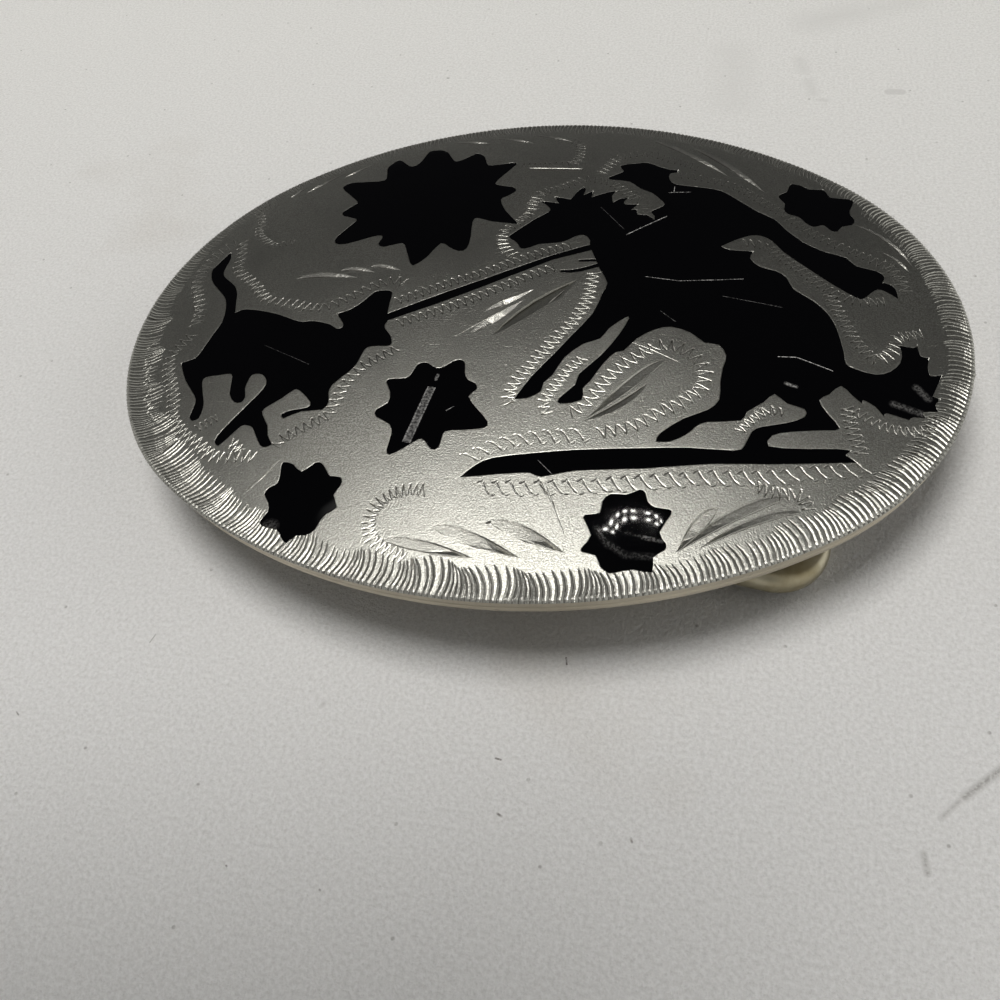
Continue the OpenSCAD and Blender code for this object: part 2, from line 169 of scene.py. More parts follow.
# Shapes of a cut along it: an even stroke, a border cut that is deepest at the rim, four kinds of
# leaf (steepest towards the tip, steep from the start, even, steep near the tip only) and a
# stroke of the rocked graver, whose corners bite at both ends. Columns: part of its length, of
# its full half-width, of its full depth
LENS = ((0, 0, 0), (0.12, 0.75, 0.9), (0.5, 1, 1), (0.88, 0.75, 0.9), (1, 0, 0))
DROP = ((0, 0, 0), (0.08, 0.5, 0.5), (0.27, 0.75, 0.75), (0.5, 0.88, 0.88), (0.72, 0.95, 0.95),
        (0.94, 1, 1), (1, 0.9, 1))
LEAF = ((0, 0, 0), (0.05, 0.4, 0.2), (0.12, 0.7, 0.35), (0.22, 0.92, 0.45), (0.34, 1, 0.55),
        (0.46, 0.98, 0.68), (0.57, 0.88, 0.8), (0.67, 0.72, 0.92), (0.76, 0.54, 1),
        (0.84, 0.37, 0.9), (0.92, 0.18, 0.5), (1, 0, 0))
FACET = ((0, 0, 0), (0.08, 0.3, 0.5), (0.2, 0.5, 0.9), (0.35, 0.72, 1), (0.5, 0.92, 1),
         (0.6, 1, 0.9), (0.7, 0.95, 0.45), (0.8, 0.8, 0.3), (0.9, 0.5, 0.2), (1, 0, 0))
SHADED = ((0, 0, 0), (0.1, 0.5, 0.5), (0.25, 0.85, 0.85), (0.45, 1, 1), (0.65, 0.9, 0.9),
          (0.85, 0.5, 0.5), (1, 0, 0))
TIP = ((0, 0, 0), (0.05, 0.45, 0.08), (0.12, 0.75, 0.14), (0.22, 0.95, 0.18), (0.34, 1, 0.22),
       (0.46, 0.98, 0.28), (0.57, 0.9, 0.42), (0.67, 0.76, 0.65), (0.76, 0.58, 0.9),
       (0.84, 0.4, 1), (0.92, 0.2, 0.8), (1, 0, 0))
ROCKED = ((0, 0, 0), (0.08, 0.8, 0.8), (0.22, 1, 1), (0.5, 0.45, 0.55), (0.78, 1, 1),
          (0.92, 0.8, 0.8), (1, 0, 0))
cuts = []


def cut(start, end, left, right, depth, sag=0.0, shape=LENS, bulge=0.0):
    """One stroke of the graver from start to end, with its half-width on either side.

    Its bottom line sags to its left by sag in the middle, and by bulge where it is widest.
    """
    cuts.append((Vector(start), Vector(end), left, right, depth, sag, shape, bulge))


def curve_through(points, step):
    """Points every step mm on the smooth curve through the given ones, with the way along."""
    p = [Vector(q) for q in points]
    p = [2 * p[0] - p[1]] + p + [2 * p[-1] - p[-2]]
    fine = []
    for i in range(1, len(p) - 2):
        for k in range(12):
            t = k / 12
            a, b, c, d = p[i - 1 : i + 3]
            fine.append(0.5 * (2 * b + (c - a) * t + (2 * a - 5 * b + 4 * c - d) * t * t
                               + (3 * b - a - 3 * c + d) * t ** 3))
    fine.append(p[-2])
    out, want, run = [], 0.0, 0.0
    for a, b in zip(fine, fine[1:]):
        length = (b - a).length
        while length > 0 and want <= run + length:
            out.append((a + (b - a) * ((want - run) / length), (b - a).normalized()))
            want += step
        run += length
    return out


# Border of short cuts in from the rim. Columns: mm round the rim from the right end, length of
# the cuts, lean of their inner ends against the clock in degrees, depth, pitch
border = (
    (0, 2.7, 8, 0.09, 0.52), (10, 2.9, 2, 0.09, 0.5), (20, 2.4, -6, 0.10, 0.48),
    (31, 2.0, -8, 0.07, 0.48), (45, 2.2, -6, 0.07, 0.48), (63, 2.4, 0, 0.07, 0.48),
    (78, 2.3, 6, 0.07, 0.48), (95, 2.0, 10, 0.06, 0.48), (112, 2.0, 12, 0.06, 0.46),
    (120, 2.8, 10, 0.07, 0.45), (128, 3.8, 12, 0.08, 0.45), (136, 4.2, 16, 0.08, 0.45),
    (146, 4.4, 20, 0.08, 0.45), (158, 4.0, 16, 0.09, 0.48), (168, 3.1, 8, 0.09, 0.5),
    (178, 3.1, 4, 0.09, 0.54), (187, 3.6, -4, 0.09, 0.56), (196, 3.2, -6, 0.085, 0.56),
    (205, 2.5, 0, 0.085, 0.54), (213, 2.8, 0, 0.085, 0.54), (222, 3.3, 0, 0.09, 0.55),
    (232, 3.2, 1, 0.09, 0.54), (243, 3.0, 4, 0.09, 0.53), (253.2, 2.7, 8, 0.09, 0.52))
LAST_GAP = 0.2  # the last cut keeps this far from the first
PAST_RIM = 0.3  # the cuts run out over the edge
HALF_WIDTH, TILT = 0.46, 0.35  # parts of the pitch; the flank towards the near end is wider
around, row = 0.0, 0
while around < RIM_LENGTH - LAST_GAP:
    while border[row + 1][0] < around:
        row += 1
    (row_start, *a), (row_end, *b) = border[row], border[row + 1]
    done, span = around - row_start, row_end - row_start
    length, lean, depth, pitch = (u + (v - u) * done / span for u, v in zip(a, b))
    # the hand turns the plate a little at a time, so the cuts fan out in groups
    fan = 8 * math.sin(around / 0.9) + 5 * math.sin(around / 3.1)
    length *= 1 + 0.09 * math.sin(around / 1.05) + rng.uniform(-0.04, 0.04)
    outer, out = rim_at(around)
    turn = math.radians(lean + fan + rng.uniform(-2.5, 2.5))
    inward = Matrix.Rotation(-turn, 2) @ -out
    half = HALF_WIDTH * pitch
    cut(outer + inward * length, outer + out * PAST_RIM,
        half * (1 - TILT * out.x), half * (1 + TILT * out.x),
        depth * rng.uniform(0.85, 1.15), 0.15 * length, DROP)
    around += pitch + rng.uniform(-0.05, 0.05)

# A second row of cuts crosses the border where the graver went round again. Columns: from and
# to, mm round the rim; distance in from the rim, length, lean
SECOND_PITCH = 0.55
for around, last, inset, length, lean in (
        (3, 24, 2.0, 1.2, -20), (134, 146, 2.2, 1.2, -28), (228, 244, 1.9, 1.7, -24)):
    while around < last:
        outer, out = rim_at(around)
        inward = Matrix.Rotation(-math.radians(lean + rng.uniform(-4, 4)), 2) @ -out
        cut(outer + inward * (inset + length), outer + inward * inset, 0.1, 0.12, 0.035, 0.05)
        around += SECOND_PITCH + rng.uniform(-0.06, 0.06)

# Wriggle cuts: zigzags made by rocking a flat graver along the line. Columns: width of the
# zigzag, length of a full tooth, 1 where the teeth end in hooks instead of joining, and the
# points x, y of its middle line
wriggles = (
    # round the calf's tail and along its back to its head
    (1.6, 0.95, 0, (
        (-36.9, -2.9), (-37.1, -1.2), (-37.6, 0.4), (-38.5, 1.9), (-39.2, 3.3), (-39.7, 5),
        (-39.8, 6.8), (-39.5, 8.4), (-38.8, 10), (-37.8, 11.4), (-36.6, 12.2))),
    (1.5, 0.95, 0, (
        (-36.4, 11.6), (-36, 10.2), (-35.4, 8.6), (-35.2, 7), (-34.6, 5.6), (-33.4, 4.5),
        (-32.1, 3.5), (-31.2, 2.5), (-30.2, 1.3), (-29, 0.2), (-27.4, -0.3), (-25.2, -0.9),
        (-23.6, -1.4), (-22.1, -1.6), (-21, -1.2), (-19.8, -0.5), (-18.6, 0.4), (-17.4, 1.4),
        (-16.2, 2.1), (-14.8, 2.5), (-13.3, 2.1), (-12.6, 1.6))),
    # above the rope, under the rope
    (1.5, 0.8, 0, (
        (-13.6, -0.8), (-12, 0), (-9, 1.7), (-5, 3.8), (-1.2, 6.2), (1, 7.4), (3, 8.4),
        (4.4, 9.3))),
    (1.5, 0.85, 0, (
        (-12.6, -4.2), (-9.2, -2.6), (-6, -0.8), (-2.8, 1.4), (0.4, 3.6), (3.2, 5.3))),
    # the horse's face, over the ears and down its neck
    (1.5, 0.75, 0, (
        (-2.3, 6.6), (-3.4, 7.6), (-4, 8.8), (-4.2, 10), (-4, 11.2), (-3.2, 12.2), (-2.4, 13.4),
        (-1.8, 14.6), (-1.8, 16), (-1.5, 17.4), (-1.2, 18.6), (0.6, 19.6), (2.2, 20.8),
        (3.6, 21.8), (5, 21.6), (6.6, 21), (8, 19.6), (9.6, 18), (10.8, 17.6))),
    # round the hat, and along the rider's back, leg and boot
    (1.5, 0.75, 0, (
        (5.2, 23), (5.6, 24.2), (6.2, 25.6), (6.8, 26.8), (8, 27.5), (9.6, 28.1), (11.2, 27.7),
        (12.6, 26.9), (14.4, 26.3), (15.8, 25.4), (16.8, 24.6))),
    (1.5, 0.8, 0, (
        (14.2, 23.5), (16, 23.2), (17.6, 22.7), (19.2, 22.3), (20.6, 21.7), (22, 20.6),
        (23.2, 19.4), (24.8, 18), (26.4, 16.6), (27.6, 15.3), (29, 14), (30.4, 12.9),
        (32, 12.1), (33.6, 11.3), (35, 10.6), (36.6, 9.8), (37.6, 8.4), (38, 7), (38.6, 5.6))),
    # between the leg and the horse's rump, then down to its tail and up again
    (1.5, 0.75, 0, (
        (21.9, 11), (23.2, 11), (24.4, 10.4), (25.6, 9.2), (26.8, 8.2), (28, 7), (29.2, 5.8),
        (30.6, 4.6), (32, 3.8), (33.6, 3.4), (35.2, 3.8), (36.6, 4.2))),
    (1.5, 0.75, 0, (
        (30.6, 4.2), (31.1, 2.4), (31.8, 0.4), (32.4, -1), (33, -2.4), (34, -3.8), (35, -4.6),
        (36, -3.8), (36.6, -2.6), (37, -1.2), (38.6, -0.4), (40, 0.2))),
    # under the tail and down to the ground strip
    (1.3, 0.7, 0, (
        (40.2, -11.8), (39, -12.5), (37.4, -13), (35.8, -13), (34.4, -12.5), (33.3, -11.8),
        (32.4, -11.4))),
    (1.5, 0.7, 0, (
        (32, -11.2), (32.2, -12.6), (32.6, -14.2), (33, -15.8), (33.4, -17.2))),
    # under the ground strip, right to left
    (1.5, 1.3, 1, (
        (33.4, -17.9), (32.2, -18.4), (30, -19), (28, -19.5), (26, -20.2), (23, -20.8),
        (20, -21.2), (17, -21.8), (14, -22.5), (11, -23.1), (8, -23.6), (5, -24), (3, -24.2),
        (0, -24.4), (-1.6, -24.4))),
    # over the ground strip, under the belly and back between the forelegs
    (1.5, 1.3, 1, (
        (-1.8, -21.2), (-0.4, -20.2), (1.6, -19.2), (4.6, -18.4), (7.2, -18), (9.6, -17.4))),
    (1.6, 1, 0, (
        (9.8, -17.4), (11.2, -17), (12.6, -16.4), (13.8, -15.6), (15, -14.4), (16.4, -13.4),
        (17.6, -12.2), (18.6, -11), (18.9, -9.4), (18.6, -8), (17.6, -6.8), (16, -5.8),
        (14.4, -5.8), (13, -6.8), (11.8, -8), (10.6, -9.4), (9.6, -11), (8.8, -12.6),
        (8, -14.2), (7.2, -15), (5.6, -15.8))),
    (1.3, 0.7, 0, (
        (7, -8.4), (6, -9.8), (5.2, -11.4), (4.6, -12.8), (4, -14.4), (4.8, -16))),
    (1.15, 0.7, 0, (
        (22.4, -15.6), (23.2, -14.4), (24.8, -12.8), (26.6, -12.9), (27.2, -12.6))),
    # down the horse's chest and foreleg
    (1.5, 0.8, 0, (
        (6.6, 4.2), (6.5, 2.6), (6.5, 0.6), (6.2, -1), (5.8, -2.4), (5, -4.2), (4, -5.8),
        (3.4, -7.2), (2.6, -8.6), (1.8, -10.2), (1, -11.8), (0.6, -13.4), (0.8, -14.6),
        (1.8, -15.2))),
    # behind the calf, under its feet, and up its chest
    (1.6, 0.85, 0, (
        (-36.8, -4.6), (-37.5, -6), (-38.1, -7.4), (-37.9, -9.1), (-37.1, -10.8), (-36, -12.7),
        (-35.2, -14.3), (-34.6, -16), (-33.8, -17.4), (-32.6, -18.6), (-31.2, -19.5),
        (-29.8, -20.3), (-28.6, -21.4), (-26.9, -21.9), (-24.8, -21.7), (-22.9, -22))),
    (1.3, 0.6, 0, (
        (-30.9, -18.2), (-29.8, -17.4), (-28.8, -16.6))),
    (1.3, 0.6, 0, (
        (-26.4, -20.2), (-25.6, -20.6), (-25, -21.4))),
    (1.5, 0.85, 0, (
        (-12.1, -7.9), (-13.3, -8.9), (-14.8, -10), (-15.7, -11.5), (-16.4, -13.1),
        (-16.7, -15), (-17.1, -16.7), (-18.8, -17.9), (-20.2, -18.9), (-21.2, -19.8),
        (-21.6, -21.2))),
    # open scrolls in the field: lower left, lower right, top middle, upper left
    (1.5, 0.6, 0, (
        (-5.4, -25), (-7.2, -25.1), (-8.8, -25.9), (-9.7, -27.2), (-9.9, -28.8), (-9.2, -30.4),
        (-7.6, -31.4), (-5.4, -32.2))),
    (1.5, 0.6, 0, (
        (24.2, -21.6), (26, -22), (27.6, -21.8), (28.4, -22.7), (28.8, -23.8))),
    (1.3, 0.65, 0, (
        (0.8, 30.8), (1.6, 30.2), (1.9, 29), (2.1, 27.7), (2, 26.4), (1.4, 25.3), (0, 25.3),
        (-1.6, 24.9), (-3.4, 24.9), (-4.8, 24.8))),
    (1.15, 0.7, 0, (
        (-35.2, 19.4), (-36.4, 17.8), (-35.6, 16.4), (-35.1, 15), (-34.9, 13.4), (-34, 12.2),
        (-32.8, 11), (-31.4, 10.2), (-30, 10.5), (-28.4, 10.5))),
)
for width, pitch, hook, line in wriggles:
    track = curve_through(line, pitch)
    for (here, along), (there, onward) in zip(track, track[1:]):
        across = Vector((-along.y, along.x)) * width / 2 * rng.uniform(0.9, 1.1)
        across_next = Vector((-onward.y, onward.x)) * width / 2
        lean = along * pitch * rng.uniform(0.3, 0.36)
        top, foot = here + across - lean, here - across + lean
        cut(top, foot, 0.2, 0.15, 0.031, 0.08 * width, ROCKED)
        if hook:
            # the graver is turned at each end of the stroke
            foot_end = foot + along * pitch * 0.45 + across * 0.34
            cut(foot - across * 0.12, foot_end, 0.18, 0.1, 0.045, -0.06)
            top_start = top - along * pitch * 0.36 - across * 0.1
            cut(top_start, top + across * 0.06, 0.14, 0.09, 0.04, 0.02)
        else:
            next_top = there + across_next - onward * pitch * 0.33
            cut(foot, next_top, 0.13, 0.08, 0.03, -0.05)

# Leaf cuts: one broad stroke of a polished flat graver each, with a stem line along one side of
# its slope. Columns: start x, y; tip x, y; width from the stem line to the far side, to the left
# if it's positive; depth; sag of the stem line; how the slope falls:
# stem: to the stem line; bright: the same, steep from the start, so that it catches the lamp;
# dark: the same, even and dull; wall: to a steep wall on the far side; tip: the same near the tip.
# Stem and bright leaves get a strong painted highlight in their colour; dark, wall and tip ones
# none
leaves = (
    # the spray in the middle
    (0.7, 1.2, -3.9, -2.4, -0.65, 0.22, 0.3, "bright"),
    (-0.3, -0.7, -4.8, -5.6, -0.85, 0.27, 0.5, "bright"),
    (5.1, 3, -2.4, -5.8, 1.4, 0.27, -0.8, "dark"), (4.1, 1.6, 2.6, -0.8, 0.5, 0.13, 0, "dark"),
    # beside the big flower, over the calf's back
    (-26.8, 3.5, -19.2, 3.2, 0.8, 0.15, 0.25, "stem"),
    (-21.6, 4.6, -17.4, 4, 0.6, 0.13, 0.15, "stem"),
    (-18.2, 5.1, -14.4, 4.2, 0.5, 0.12, 0.1, "stem"),
    # under the horse's belly
    (15.1, -7.7, 8.1, -16.1, -1.0, 0.2, 0.35, "wall"),
    (13.6, -10.9, 8, -16.2, 0.7, 0.14, 0.2, "dark"),
    # the branch at the bottom, left and middle
    (-8.2, -30.5, 0.5, -31.6, 0.95, 0.2, -0.3, "tip"),
    (-4, -28.9, 4.5, -31.2, 1.15, 0.22, -0.4, "tip"),
    (1.2, -28, 8.3, -30.3, 1.25, 0.24, -0.4, "tip"),
    # the branch at the bottom right
    (20.9, -24.3, 17.6, -29.1, -1.0, 0.22, 0.3, "wall"),
    (27, -22.2, 17.8, -29, -0.9, 0.2, -0.3, "wall"),
    (28.1, -23.5, 19.4, -28.6, -0.5, 0.14, -0.4, "wall"),
    # right, top right, top left and top middle
    (33.3, 16.7, 39.3, 10.2, 0.45, 0.13, 0.9, "stem"),
    (36.1, 12.2, 38.9, 9.2, 0.35, 0.1, 0.3, "stem"),
    (10.2, 31.6, 19.7, 23.9, 0.8, 0.2, 0.2, "stem"),
    (15.2, 30.1, 23.9, 21, 0.9, 0.22, 0.2, "stem"),
    (-27, 25.5, -31.2, 21.3, -0.6, 0.14, 0.1, "stem"),
    (-24, 26.8, -27, 24.2, -0.5, 0.13, 0.1, "stem"),
    (-31.5, 22.8, -33.3, 20.4, -0.5, 0.12, 0.1, "stem"),
    (-14.6, 31.1, -9.7, 30.6, 0.5, 0.13, 0.1, "stem"),
    (-9.5, 31.9, -4, 30.4, 0.5, 0.13, 0.1, "stem"),
    (-4.3, 32.5, 0.8, 30.7, 0.5, 0.13, 0.1, "stem"),
)
STEEP_SIDE, WALL_SIDE = 0.1, 0.12  # width of the steep side of a cut
STEM_HALF, STEM_DEPTH = 0.07, 0.06
for x0, y0, x1, y1, width, depth, sag, falls in leaves:
    left, right = max(width, 0), max(-width, 0)
    if falls in ("stem", "bright", "dark"):
        shape = {"stem": LEAF, "bright": FACET, "dark": SHADED}[falls]
        cut((x0, y0), (x1, y1), left or STEEP_SIDE, right or STEEP_SIDE, depth, sag, shape)
    else:
        shape = TIP if falls == "tip" else LEAF
        cut((x0, y0), (x1, y1), right or WALL_SIDE, left or WALL_SIDE, depth, sag, shape, width)
        stem_sag = sag - math.copysign(STEM_HALF, width)
        cut((x0, y0), (x1, y1), STEM_HALF, STEM_HALF, STEM_DEPTH, stem_sag)

# Fine lines: leaf stems, the straight line at the top, and slips of the graver. Columns: start
# x, y; end x, y; sag to the left
for x0, y0, x1, y1, sag in (
        (-6.4, -6.3, 0, -0.5, 0.1), (-3.6, 24.2, 2.9, 24.1, 0), (2.5, -20.2, 8.2, -29.2, 0.6),
        (5.6, -23.6, 7.4, -27.5, 0.1), (10.4, -5.4, 16.8, -8.2, 0.2),
        (-20.5, -22, -23.2, -26.2, 0.2)):
    cut((x0, y0), (x1, y1), 0.06, 0.06, 0.03, sag)

# A pit at the start of the third leaf at the bottom
cut((0.85, -28.1), (1.35, -27.85), 0.16, 0.14, 0.12)


def cut_frame(start, end):
    """The way along a cut, as long as it is, and the unit vector to its left."""
    along = end - start
    return along, Vector((-along.y, along.x)) / along.length


def cut_shape(shape, t):
    """The half-width and depth of a cut at part t of its length, as parts of the full ones."""
    for (t0, w0, d0), (t1, w1, d1) in zip(shape, shape[1:]):
        if t <= t1:
            part = (t - t0) / (t1 - t0)
            return w0 + (w1 - w0) * part, d0 + (d1 - d0) * part
    return 0.0, 0.0


points, edges = [], []


def chain(line, closed=False):
    """Adds a line of points as edges that the face's mesh has to follow."""
    first = len(points)
    points.extend(line)
    edges.extend((first + i, first + i + 1) for i in range(len(line) - 1))
    if closed:
        edges.append((first + len(line) - 1, first))
    return first


# each cut's bottom line and its two sides
for start, end, left, right, depth, sag, shape, bulge in cuts:
    along, side = cut_frame(start, end)
    middle, left_line, right_line = [], [], []
    for t, w, _ in shape:
        base = start + along * t + side * (sag * 4 * t * (1 - t) + bulge * w)
        middle.append(base)
        left_line.append(base + side * left * w)
        right_line.append(base - side * right * w)
    first = chain(middle)
    last = first + len(middle) - 1
    for line in (left_line, right_line):
        inner = chain(line[1:-1])
        edges.append((first, inner))
        edges.append((inner + len(line) - 3, last))

# the oval, just inside the eased edge
RIM_STEPS = 720
oval = []
for i in range(RIM_STEPS):
    spot, out = rim_at(RIM_LENGTH * i / RIM_STEPS)
    oval.append(spot - out * EDGE_EASE)
chain(oval, closed=True)

# the recesses: the outline of each inlay's top, grown by the gap, and a worn lip round it
TOP_NORMAL = 0.5  # a face that points up more than this is part of an inlay's top
MITRE = 0.35  # the outline's sharp points are cut off here as it grows
pockets = []
for name in sorted(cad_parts):
    if "inlay" not in name:
        continue
    bm = bmesh.new()
    bm.from_mesh(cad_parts[name].data)
    bmesh.ops.remove_doubles(bm, verts=bm.verts, dist=1e-6)
    bm.normal_update()
    following = {}  # each corner of the outline: the next one's number, and its own place
    for f in bm.faces:
        if f.normal.z <= TOP_NORMAL:
            continue
        for loop in f.loops:
            beyond = [other for other in loop.edge.link_faces if other is not f]
            if not any(other.normal.z > TOP_NORMAL for other in beyond):
                following[loop.vert.index] = (loop.link_loop_next.vert.index,
                                              loop.vert.co.xy * 1000)
    while following:
        first, (index, co) = following.popitem()
        outline = [co]
        while index != first:
            index, co = following.pop(index)
            outline.append(co)
        grown = []
        for a, b, c in zip([outline[-1]] + outline[:-1], outline, outline[1:] + outline[:1]):
            e0, e1 = (b - a).normalized(), (c - b).normalized()
            n0, n1 = Vector((e0.y, -e0.x)), Vector((e1.y, -e1.x))
            grown.append((b, (n0 + n1) / max(MITRE, 1 + n0.dot(n1))))
        pockets.append([b + n * GAP for b, n in grown])
        chain(pockets[-1], closed=True)
        chain([b + n * (GAP + LIP) for b, n in grown], closed=True)
    bm.free()

# free points, so that the dome is evenly faceted between the cuts
REACH_X, REACH_Y = 45.0, 36.0
COLUMN, ROW = 1.3, 1.1
y = -REACH_Y
while y < REACH_Y:
    x = -REACH_X + (COLUMN / 2 if int(y * 10) % 2 else 0)
    while x < REACH_X:
        points.append(Vector((x + rng.uniform(-0.1, 0.1), y + rng.uniform(-0.1, 0.1))))
        x += COLUMN
    y += ROW

flat, _, faces, _, _, _ = geometry.delaunay_2d_cdt(points, edges, [], 0, 1e-4)

# For each point of the mesh: how deep the metal is cut away, how near it is to a cut's bottom,
# where grime sits, and how much its colour is lightened: cleaner metal in a fresh cut, and a
# painted highlight on the cuts' flanks
LEAF_POLISH_AND_HIGHLIGHT, STROKE_POLISH_AND_HIGHLIGHT = 0.7, 0.25
HIGHLIGHT_FADES_IN = 0.3  # part of a flank over which the polish and painted highlight fade in
BROAD_GRIME = 0.8  # a leaf with a wall holds less grime
NO_WIDTH = 1e-6
finder = kdtree.KDTree(len(flat))
for i, co in enumerate(flat):
    finder.insert((co.x, co.y, 0), i)
finder.balance()
depths, grooves, brights = [0.0] * len(flat), [0.0] * len(flat), [0.0] * len(flat)
for start, end, left, right, depth, sag, shape, bulge in cuts:
    along, side = cut_frame(start, end)
    # painted highlight, with the cleaner metal of the cut: strong on the leaves that catch the
    # lamp, weak on strokes, none on leaves that turn away from it or have a wall
    polish_and_highlight = 0 if bulge or shape is SHADED else STROKE_POLISH_AND_HIGHLIGHT
    if not bulge and shape in (LEAF, FACET):
        polish_and_highlight = LEAF_POLISH_AND_HIGHLIGHT
    half_way = (start + end) / 2
    reach = along.length / 2 + max(left, right) + abs(sag) + abs(bulge) + 0.05
    for co, i, _ in finder.find_range((half_way.x, half_way.y, 0), reach):
        offset = Vector((co.x, co.y)) - start
        t = offset.dot(along) / along.length_squared
        if not 0 < t < 1:
            continue
        part, deep = cut_shape(shape, t)
        aside = offset.dot(side) - sag * 4 * t * (1 - t) - bulge * part
        half = part * (left if aside > 0 else right)
        if half > NO_WIDTH and abs(aside) < half:
            near = 1 - abs(aside) / half
            depths[i] = max(depths[i], depth * deep * near)
            grooves[i] = max(grooves[i], near * (BROAD_GRIME if bulge else 1))
            brights[i] = max(brights[i], polish_and_highlight * min(1, near / HIGHLIGHT_FADES_IN))

# the recess's edge is worn to a small slope
ON_EDGE = 0.004
for outline in pockets:
    for a, b in zip(outline, outline[1:] + outline[:1]):
        along, half_way = b - a, (a + b) / 2
        for co, i, _ in finder.find_range((half_way.x, half_way.y, 0), along.length / 2 + 0.01):
            offset = Vector((co.x, co.y)) - a
            if abs(offset.cross(along)) < ON_EDGE * along.length:
                depths[i] = max(depths[i], LIP_DEPTH)


def inside(co, outline):
    """Whether a point lies within a closed outline."""
    hit = False
    for a, b in zip(outline, outline[1:] + outline[:1]):
        if (a.y > co.y) != (b.y > co.y) and co.x < a.x + (b.x - a.x) * (co.y - a.y) / (b.y - a.y):
            hit = not hit
    return hit


# the face and the recesses' floors and walls, with the values above kept as attributes for the
# material; wall is 1 on the edge below the face
boxes = [(min(p.x for p in o), max(p.x for p in o), min(p.y for p in o), max(p.y for p in o))
         for o in pockets]
bm = bmesh.new()
cut_layer = bm.verts.layers.float.new("cut_depth")
groove_layer = bm.verts.layers.float.new("groove")
bright_layer = bm.verts.layers.float.new("bright")
wall_layer = bm.verts.layers.float.new("wall")
high, low = {}, {}


def raised(i):
    """The vertex of flat point i on the face."""
    if i not in high:
        co = flat[i]
        high[i] = bm.verts.new((co.x, co.y, dome(co.x, co.y) - depths[i]))
        high[i][cut_layer] = depths[i]
        high[i][groove_layer] = grooves[i]
        high[i][bright_layer] = brights[i]
    return high[i]


def lowered(i):
    """The vertex of flat point i on a recess's floor."""
    if i not in low:
        co = flat[i]
        low[i] = bm.verts.new((co.x, co.y, dome(co.x, co.y, FACE_SHEET)))
    return low[i]


top_edges, floor_edges = {}, {}
for f in faces:
    co = sum((flat[i] for i in f), Vector((0, 0))) / len(f)
    if rim_normal(co.x, co.y)[1] > -EDGE_EASE - 1e-3:
        continue
    sunk = any(x0 < co.x < x1 and y0 < co.y < y1 and inside(co, o)
               for (x0, x1, y0, y1), o in zip(boxes, pockets))
    bm.faces.new([lowered(i) if sunk else raised(i) for i in f])
    for a, b in zip(f, list(f[1:]) + [f[0]]):
        (floor_edges if sunk else top_edges)[a, b] = True
for a, b in floor_edges:
    if (b, a) in top_edges:
        bm.faces.new([raised(a), raised(b), lowered(b), lowered(a)])

# Knocks in the rim. Columns: x, y, reach, depth in from the rim; a burr stands out
dents = ((-31.8, 26.2, 1.6, 0.16), (-40.6, 15.3, 1.2, 0.06), (44.3, -4.2, 0.7, -0.12),
         (38.6, -18.2, 1, 0.06))

# The edge, ring by ring: its eased part, which the border's cuts run over, the face sheet, the
# solder seam, the backing sheet. Columns: distance out from the rim, depth under the dome, part
# of a cut's depth that is left there
edge_rings = (
    (-0.2, 0.03, 1), (-0.02, 0.1, 1), (0, 0.15, 1), (-0.02, 0.22, 0.9), (-0.04, 0.29, 0),
    (-0.3, 1.18, 0), (-0.38, 1.24, 0), (-0.38, 1.34, 0), (-0.34, 1.42, 0), (-0.62, 2.42, 0),
    (-0.74, 2.55, 0), (-0.95, 2.6, 0))
SIDEWAYS = 0.5  # a cut goes this part of its depth into the edge
WALL_FROM = 0.25  # depth under the dome at which the plain wall starts
ring = [e for e in bm.edges if e.is_boundary]
for out_by, depth, kept in edge_rings:
    made = bmesh.ops.extrude_edge_only(bm, edges=ring)["geom"]
    for v in (g for g in made if isinstance(g, bmesh.types.BMVert)):
        out, distance = rim_normal(v.co.x, v.co.y)
        dent = sum(deep * max(0, 1 - math.hypot(v.co.x - x, v.co.y - y) / reach)
                   for x, y, reach, deep in dents)
        spot = v.co.xy + out * (out_by - distance - SIDEWAYS * kept * v[cut_layer] - dent)
        v.co = (spot.x, spot.y, dome(spot.x, spot.y, depth + kept * v[cut_layer]))
        v[cut_layer] *= kept
        v[groove_layer] *= kept
        v[bright_layer] *= kept
        v[wall_layer] = depth > WALL_FROM
    ring = [g for g in made if isinstance(g, bmesh.types.BMEdge)]

# the back, in rings that shrink by these parts towards its middle
for part in (0.85, 0.7, 0.7, 0.6, 0.4):
    made = bmesh.ops.extrude_edge_only(bm, edges=ring)["geom"]
    for v in (g for g in made if isinstance(g, bmesh.types.BMVert)):
        spot = v.co.xy * part
        v.co = (spot.x, spot.y, dome(spot.x, spot.y, FACE_SHEET + BACKING_SHEET))
    ring = [g for g in made if isinstance(g, bmesh.types.BMEdge)]
bmesh.ops.holes_fill(bm, edges=ring)
bmesh.ops.recalc_face_normals(bm, faces=bm.faces)


def lathe(profile, axis_point, axis):
    """Spins rows of radius and place along the axis once round it."""
    axis = Vector(axis)
    side = axis.orthogonal().normalized()
    verts = [bm.verts.new(Vector(axis_point) + axis * z + side * r) for r, z in profile]
    line = [bm.edges.new(pair) for pair in zip(verts, verts[1:])]
    bmesh.ops.spin(bm, geom=verts + line, cent=axis_point, axis=axis, angle=math.tau, steps=40,
                   use_merge=True)


